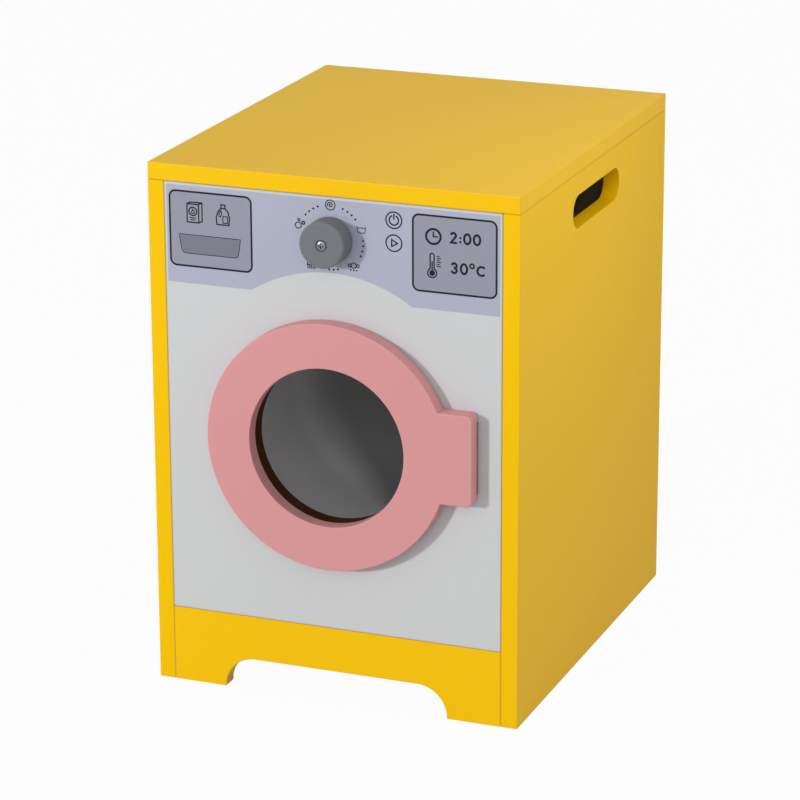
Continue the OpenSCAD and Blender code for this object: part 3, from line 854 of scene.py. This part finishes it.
def time_figures():
    """The time that is left."""
    drawn = figures(TIME_FIGURES, TIME_FOOT)
    for centre in COLON:
        drawn += dot(centre, COLON_R)
    return drawn


def heat_figures():
    """The water's temperature."""
    drawn = figures(HEAT_FIGURES, HEAT_FOOT) + hoop(DEGREE, DEGREE_R, DEGREE_LINE, 20)
    return drawn + figures(HEAT_UNIT, HEAT_FOOT)


def powder_box(x, z):
    """Carton with a drop on its front."""
    front = [(-8.6, -10.6), (4.2, -10.6), (4.2, 8.4), (-8.6, 8.4)]
    side = [(4.2, -10.6), (8.0, -8.8), (8.0, 10.4), (-4.8, 10.4), (-8.6, 8.4)]
    drop = [(0, 2.4)] + arc((0, -0.7), 1.5, 150, 390, 12)
    drawn = stroke(shifted(front, x, z), SIGN_LINE, True) + stroke(shifted(side, x, z), SIGN_LINE)
    drawn += stroke(shifted([(4.2, 8.4), (8.0, 10.4)], x, z), SIGN_LINE)
    drawn += hoop((x - 2.2, z + 0.8), 4.3, SIGN_LINE, 32)
    drawn += stroke(shifted(drop, x - 2.2, z + 0.6), FINE_LINE, True)
    for level, reach in ((-5.9, 3.2), (-7.9, 2.2)):
        drawn += stroke(shifted([(-2.2 - reach, level), (-2.2 + reach, level)], x, z), FINE_LINE)
    return drawn


def bottle(x, z):
    """Bottle with a cap, a grip and a label."""
    body = [(-6.6, -10.6), (6.6, -10.6), (7.4, -3), (5.6, 3.4),
            (2.8, 6.4), (-1.8, 6.4), (-5.2, 2.6), (-7.2, -3)]
    cap = [(-1.8, 6.4), (-1.8, 10.2), (2.4, 10.2), (2.4, 6.4)]
    grip = [(-4.4, -1.8), (-3.8, 1.8), (-1.8, 3.8), (-1.2, 1.0), (-2.4, -2.4)]
    label = [(0.2, -8.6), (5.2, -8.6), (5.2, -1.8), (0.2, -1.8)]
    drawn = stroke(shifted(body, x, z), SIGN_LINE, True) + stroke(shifted(cap, x, z), SIGN_LINE)
    for shape in (grip, label):
        drawn += stroke(shifted(shape, x, z), FINE_LINE, True)
    return drawn


def spin_sign(x, z):
    """Spiral in a hoop."""
    return hoop((x, z), 5.1, FINE_LINE, 40) + stroke(spiral((x, z), 3.2, 1.4), FINE_LINE)


def bubble_sign(x, z):
    """Three bubbles."""
    drawn = hoop((x - 1.6, z - 1.4), 3.2, FINE_LINE, 32) + hoop((x + 3.9, z + 1.5), 1.5, SIGN_LINE, 20)
    return drawn + hoop((x - 0.8, z + 4.4), 1.2, FINE_LINE, 20)


def brush_sign(x, z):
    """Scrubbing brush with its bristles down."""
    back = [(-4.4, 0.6), (-3.6, 2.8), (4.0, 1.6), (4.4, 0.0)]
    drawn = stroke(shifted(back, x, z), FINE_LINE, True)
    for k in range(5):
        across = -3.6 + 1.9 * k
        drawn += stroke(shifted([(across, 0.2), (across, -3.2)], x, z), FINE_LINE)
    return drawn


def shower_sign(x, z):
    """Cloud with three drops under it."""
    drawn = hoop((x, z + 1.4), 2.7, FINE_LINE, 28)
    for side in (-1, 1):
        drawn += hoop((x + side * 4.4, z + 1.2), 1.5, FINE_LINE, 20)
    for across in (-3.2, 0.0, 3.2):
        drawn += dot((x + across, z - 3.4), 0.9)
    return drawn


def wash_sign(x, z):
    """Wash tub with water in it."""
    tub = [(-4.9, 3.4), (-3.5, -3.2), (3.5, -3.2), (4.9, 3.4)]
    waves, steps, half, level, swell = 3, 24, 4.6, 1.8, 0.5
    water = []
    for k in range(steps + 1):
        share = k / steps
        water.append((half * (2 * share - 1), level + swell * math.sin(2 * math.pi * waves * share)))
    return stroke(shifted(tub, x, z), THIN_LINE) + stroke(shifted(water, x, z), THIN_LINE)


def power_sign(x, z):
    """Open hoop with a bar in its gap."""
    drawn = hoop((x, z), BUTTON_R, SIGN_LINE) + stroke(arc((x, z), 4.9, 118, 422, 36), HAND_LINE)
    return drawn + stroke([(x, z + 1.2), (x, z + 6.0)], HAND_LINE)


def start_sign(x, z):
    """Arrow that points to the right."""
    arrow = shifted([(-2.4, -3.6), (3.8, 0), (-2.4, 3.6)], x, z)
    return hoop((x, z), BUTTON_R, SIGN_LINE) + stroke(arrow, SIGN_LINE, True)


def clock(x, z):
    """Clock face at three."""
    return hoop((x, z), 7.6, BOLD_LINE) + stroke([(x, z + 4.6), (x, z), (x + 4.4, z)], HAND_LINE)


def thermometer(x, z):
    """Bulb and stem with a column inside, and a scale beside it."""
    bulb = (x, z - 8.0)
    stem = arc((x, z + 10.0), 2.1, 0, 180, 12)
    drawn = stroke(stem + arc(bulb, 4.7, 117, 423, 30), SIGN_LINE, True) + dot(bulb, 3.0)
    drawn += stroke([bulb, (x, z + 3.5)], SIGN_LINE)
    scale_x, scale_foot, scale_step = x + 5.3, z - 0.7, 2.05
    for k in range(6):
        reach = 3.6 if k % 2 == 0 else 2.2
        level = scale_foot + scale_step * k
        drawn += stroke([(scale_x, level), (scale_x + reach, level)], FINE_LINE)
    return drawn


# Cabinet

def coat(piece, axis, direction):
    """Gives the face that looks one way along an axis, and nothing else, the second finish."""
    for face in piece.data.polygons:
        face.material_index = 1 if face.normal[axis] * direction > FACING else 0


def board(name, node, lay, paint, holes=(), corners=None, ease=BOARD_EASE, second=None):
    """A board with eased edges in the place of its CAD node, with that node's bores."""
    low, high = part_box(node)
    u, v, w = LAYS[lay]
    outline = corners or rectangle(low[u], low[v], high[u], high[v], CORNER_R, 4)
    widened = [inset(list(reversed(hole)), SEAM)[::-1] for hole in holes]
    bm = eased_plate(inset(outline, SEAM), widened, low[w] + SEAM, high[w] - SEAM, ease, lay, HOLE_EASE)
    return add_piece(name, with_bores(bm, node), [paint, second or paint], "cabinet", [node])


def hand_slot():
    """Outline of the slots in the side boards, in depth and height."""
    low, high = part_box("right_side_panel")
    middle = (low.y + high.y) / 2
    length, height, drop = 150 * MM, 35 * MM, 59 * MM
    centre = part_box("top_panel")[1].z - drop
    return rectangle(middle - length / 2, centre - height / 2, middle + length / 2, centre + height / 2,
                     height / 2 - SLIVER, 28)


def arch_corners():
    """Kick board outline with the arch between its two feet."""
    low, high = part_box("kick_board")
    half, rise, round_r = 123.5 * MM, 34 * MM, 33 * MM
    return filleted([
        (low.x, low.z, CORNER_R), (-half, low.z, CORNER_R), (-half, low.z + rise, round_r),
        (half, low.z + rise, round_r), (half, low.z, CORNER_R), (high.x, low.z, CORNER_R),
        (high.x, high.z, CORNER_R), (low.x, high.z, CORNER_R),
    ], 16)


def cabinet():
    """The seven boards. Where two meet, the paint of both is darkened along the joint as painted shade."""
    under_top = ("z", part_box("top_panel")[0].z)
    over_kick = ("z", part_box("kick_board")[1].z)
    beside_front = [("x", corner.x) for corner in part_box("front_panel")]
    top_paint = satin_paint("yellow_top", YELLOW, "z", [under_top])
    board("top_board", "top_panel", "along z", top_paint)
    side_paint = satin_paint("yellow_sides", YELLOW, "x", [under_top] + beside_front, sheen=0.09)
    coating = laminate("coated_face", COATING)
    for side, inward in (("left", 1), ("right", -1)):
        made = board(f"{side}_side_board", f"{side}_side_panel", "along x", side_paint,
                     holes=[hand_slot()], second=coating)
        coat(made, 0, inward)
    kick_paint = satin_paint("yellow_kick", YELLOW, "y", [over_kick] + beside_front)
    board("kick_plinth", "kick_board", "along y", kick_paint, corners=arch_corners())
    # The white board gets stronger painted shade along its joints
    white_paint = satin_paint("white_front", WHITE, "y", [under_top, over_kick] + beside_front, joint_shade=0.5)
    board("white_front_board", "front_panel", "along y", white_paint,
          holes=[ring(DOOR, PORT_R + PORT_SHOW, 192)], second=raw_edge())
    board("inner_bottom_board", "bottom_panel", "along z", laminate("grey_laminate", LAMINATE),
          ease=INNER_BOARD_EASE)
    back = board("thin_back_board", "back_panel", "along y", hardboard(),
                 ease=INNER_BOARD_EASE, second=coating)
    coat(back, 1, -1)


# Door

DOOR_LOW, DOOR_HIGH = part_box("door_ring")
DOOR_Z = (DOOR_LOW.z + DOOR_HIGH.z) / 2
DOOR = (0.0, DOOR_Z)
RING_R = (DOOR_HIGH.z - DOOR_LOW.z) / 2

# The opening in the door, and how much wider all round the one in the front board is
PORT_R = 84 * MM
PORT_SHOW = 2 * MM

# The hinge tab: how far its middle lies over the ring's, its height and the radius of its corners
TAB_LIFT = 4 * MM
TAB_H = 96 * MM
TAB_R = 6 * MM


def door_outline():
    """Ring with the hinge tab on its right."""
    top, low = TAB_LIFT + TAB_H / 2, TAB_LIFT - TAB_H / 2
    top_turn = math.degrees(math.asin(top / RING_R))
    low_turn = math.degrees(math.asin(low / RING_R))
    loop = arc(DOOR, RING_R, top_turn, 360 + low_turn, 180)
    for up, start in ((low + TAB_R, -90), (top - TAB_R, 0)):
        loop += arc((DOOR_HIGH.x - TAB_R, DOOR_Z + up), TAB_R, start, start + 90, 10)
    return loop


def door():
    """The ring with its tab, cut with the CAD ring's rebate, bore and pocket."""
    paint = satin_paint("pink_door", PINK, "y")
    bm = eased_plate(inset(door_outline(), ROUND_SEAM), [ring(DOOR, PORT_R + SEAM, 192)],
                     DOOR_LOW.y + SEAM, DOOR_HIGH.y - SEAM, DOOR_EASE, "along y")
    add_piece("pink_door_ring", with_bores(bm, "door_ring"), [paint, paint], "door",
              ["door_ring"])


# Tub

def tub():
    """Straight wall, wide round and flat floor, and a flange with a rolled rim."""
    low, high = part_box("laundry_tub")
    wall, rim_r, floor_r, inner = 3 * MM, 2.5 * MM, 70 * MM, 120 * MM
    round_at = (inner - floor_r, high.y - wall - floor_r)
    rim_at = ((high.z - low.z) / 2 - rim_r, low.y)
    inside = [(inner, low.y)] + arc(round_at, floor_r, 0, 90, 20) + [(0.0, high.y - wall)]
    outside = [(0.0, high.y)] + arc(round_at, floor_r + wall, 90, 0, 20)
    flange = [(inner + wall, low.y + wall), (rim_at[0], low.y + wall)] + arc(rim_at, rim_r, 80, 0, 4)
    add_piece("moulded_tub", turned(inside + outside + flange, DOOR, 160), [tub_plastic()],
              "cabinet", ["laundry_tub"])


# Knob and its bolt

def knob():
    """Turned knob with a rounded front edge and a recess round the bolt's head."""
    low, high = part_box("knob")
    centre = (0.0, (low.z + high.z) / 2)
    radius, edge, back_ease = (high.z - low.z) / 2, 2.5 * MM, 0.8 * MM
    recess_r, recess, bore, soft = 6 * MM, 2 * MM, 2.56 * MM, 0.35 * MM
    profile = [(bore, high.y), (radius - back_ease, high.y), (radius, high.y - back_ease)]
    profile += arc((radius - edge, low.y + edge), edge, 0, -90, 8)
    profile += [(recess_r + soft, low.y), (recess_r + 0.3 * soft, low.y + 0.3 * soft)]
    profile += [(recess_r, low.y + soft), (recess_r, low.y + recess), (bore, low.y + recess)]
    add_piece("turned_knob", turned(profile, centre, 144), [knob_paint(centre)],
              "knob", ["knob"])


def cross_cutter(centre, face):
    """A cross that narrows as it goes in, to cut the recess of a screw head with."""
    arm, half = 3.3 * MM, 0.8 * MM
    above, deep = 1 * MM, 2 * MM
    plus = [(half, half), (half, arm), (-half, arm), (-half, half), (-arm, half), (-arm, -half),
            (-half, -half), (-half, -arm), (half, -arm), (half, -half), (arm, -half), (arm, half)]
    bm = bmesh.new()
    rows = []
    for depth, share in ((face - above, 1.3), (face + deep, 0.6)):
        rows.append([bm.verts.new((centre[0] + share * u, depth, centre[1] + share * v)) for u, v in plus])
        bm.faces.new(rows[-1])
    join_rows(bm, *rows)
    bmesh.ops.recalc_face_normals(bm, faces=bm.faces)
    return link_object("cross", bm)


def knob_bolt():
    """Bolt with a domed cross head."""
    low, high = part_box("knob_bolt")
    centre = (0.0, (low.z + high.z) / 2)
    head_r, head_h, dome = (high.z - low.z) / 2, 3 * MM, 1.3 * MM
    shank, head_ease, end_ease = 2.5 * MM, 0.2 * MM, 0.5 * MM
    profile = [(0.0, low.y)]
    steps = 8
    for k in range(1, steps + 1):
        turn = math.radians(90 * k / steps)
        profile.append((head_r * math.sin(turn), low.y + dome * (1 - math.cos(turn))))
    under_head = low.y + head_h
    profile += [(head_r, under_head - head_ease), (head_r - head_ease, under_head), (shank, under_head)]
    profile += [(shank, high.y - end_ease), (shank - end_ease, high.y), (0.0, high.y)]
    crossed = combine(turned(profile, centre, 64), "DIFFERENCE", cross_cutter(centre, low.y))
    plated = steel("bolt_steel", BOLT_STEEL, 0.2)
    add_piece("cross_head_bolt", crossed, [plated, plated], "cabinet", ["knob_bolt"])


# Hardware that keeps its CAD shape

def dress_hardware():
    """Gives each node that is shown as it is the finish of its metal, wood, print or sheet."""
    finishes = (
        (beech(), ("top_dowels", "front_dowels", "bottom_dowels")),
        (steel("zinc_steel", ZINC, 0.24),
         ("cam_locks", "cam_bolts", "back_panel_screws", "tub_screws", "strike_plate", "strike_screw",
          "window_screws", "knob_front_washer", "knob_rear_washer", "knob_lock_nut")),
        (steel("bronzed_steel", BRONZE, 0.34),
         ("hinge_cabinet_leaf", "hinge_door_leaf", "hinge_pin", "hinge_cabinet_screws",
          "hinge_door_screws")),
        (steel("nickel_magnet", NICKEL, 0.16), ("door_magnet",)),
        (printed_film("print_film", FILM), ("control_film",)),
        (clear_sheet(), ("door_window",)),
    )
    for material, nodes in finishes:
        for node in nodes:
            mesh = frame["nodes"][node].data
            mesh.materials.clear()
            mesh.materials.append(material)


# Stage: floor, light and camera

# Light that reaches every face from all round, and how white the floor is to the lens
AMBIENT = 0.525
FLOOR_WHITE = 0.965
FLOOR = (0.64, 0.64, 0.64, 1.0)
FLOOR_R = 14.0


def floor():
    """A pale round floor that the lens sees nearly white, with the object's shadow."""
    f = Finish("studio_floor")
    cloud = f.noise(f.place(), 2.0, 2.0)
    tone = f.mix(cloud, toned(FLOOR, 0.9375), FLOOR)
    plain = f.wire("ShaderNodeBsdfDiffuse", {}, {"Color": tone})
    white = f.wire("ShaderNodeEmission", {}, {"Color": (1, 1, 1, 1), "Strength": 1.0})
    f.close(f.wire("ShaderNodeMixShader", {}, {0: f.clear_way() * FLOOR_WHITE, 1: plain, 2: white}))
    bm = bmesh.new()
    bmesh.ops.create_circle(bm, cap_ends=True, segments=96, radius=FLOOR_R)
    ground = link_object("studio_floor", bm)
    ground.data.materials.append(f.owner)


def world():
    """A plain surround, white to the lens."""
    SCENE.world = bpy.data.worlds.new("studio")
    f = Finish("studio", SCENE.world)
    level = AMBIENT + f.clear_way() * (1.0 - AMBIENT)
    surround = f.wire("ShaderNodeBackground", {}, {"Color": (1, 1, 1, 1), "Strength": level})
    f.node("ShaderNodeOutputWorld", {}, {"Surface": surround})


def soft_box(name, aim, towards_it, distance, size, level):
    """A round soft box. level is what it adds to a white face that looks straight at it."""
    lamp = bpy.data.lights.new(name, "AREA")
    lamp.shape = "DISK"
    lamp.size = size
    lamp.energy = level * math.pi * math.pi * distance ** 2
    holder = bpy.data.objects.new(name, lamp)
    away = Vector(towards_it).normalized()
    holder.location = Vector(aim) + away * distance
    holder.rotation_mode = "QUATERNION"
    holder.rotation_quaternion = (-away).to_track_quat("-Z", "Y")
    holder.visible_camera = False
    SCENE.collection.objects.link(holder)


def camera(place, azimuth, elevation, roll, focal_px):
    """The lens that the photograph's corners were fitted to. Angles in degrees."""
    frame_px, sensor = 800, 36.0
    lens = bpy.data.cameras.new("camera")
    lens.sensor_width = sensor
    lens.lens = focal_px / frame_px * sensor
    lens.clip_end = 60.0
    holder = bpy.data.objects.new("camera", lens)
    a, e = math.radians(azimuth), math.radians(elevation)
    back = Vector((math.sin(a) * math.cos(e), -math.cos(a) * math.cos(e), math.sin(e)))
    aimed = (-back).to_track_quat("-Z", "Y").to_matrix()
    turn = math.radians(roll)
    right = aimed.col[0] * math.cos(turn) + aimed.col[1] * math.sin(turn)
    up = back.cross(right)
    for i, column in enumerate((right, up, back)):
        for row in range(3):
            aimed[row][i] = column[row]
    holder.rotation_mode = "QUATERNION"
    holder.rotation_quaternion = aimed.to_quaternion()
    holder.location = place
    SCENE.collection.objects.link(holder)
    SCENE.camera = holder


def stage():
    floor()
    world()
    soft_box("key", aim=(0, -0.22, 0.3), towards_it=(-0.60, -1.0, 0.27), distance=3.8, size=0.4, level=0.45)
    soft_box("fill", aim=(0.2, 0, 0.45), towards_it=(0.493, -0.128, 0.386), distance=0.639, size=0.8,
             level=0.476)
    soft_box("front", aim=(0, -0.1, 0.3), towards_it=(0.18, -0.847, 0.5), distance=3.54, size=1.2,
             level=0.08)
    camera(place=(1.314, -3.368, 1.448), azimuth=21.52, elevation=18.16, roll=-0.22, focal_px=3556)
    SCENE.view_settings.view_transform = "Standard"


cabinet()
door()
tub()
knob()
knob_bolt()
control_print(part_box("control_film")[0].y)
dress_hardware()
stage()
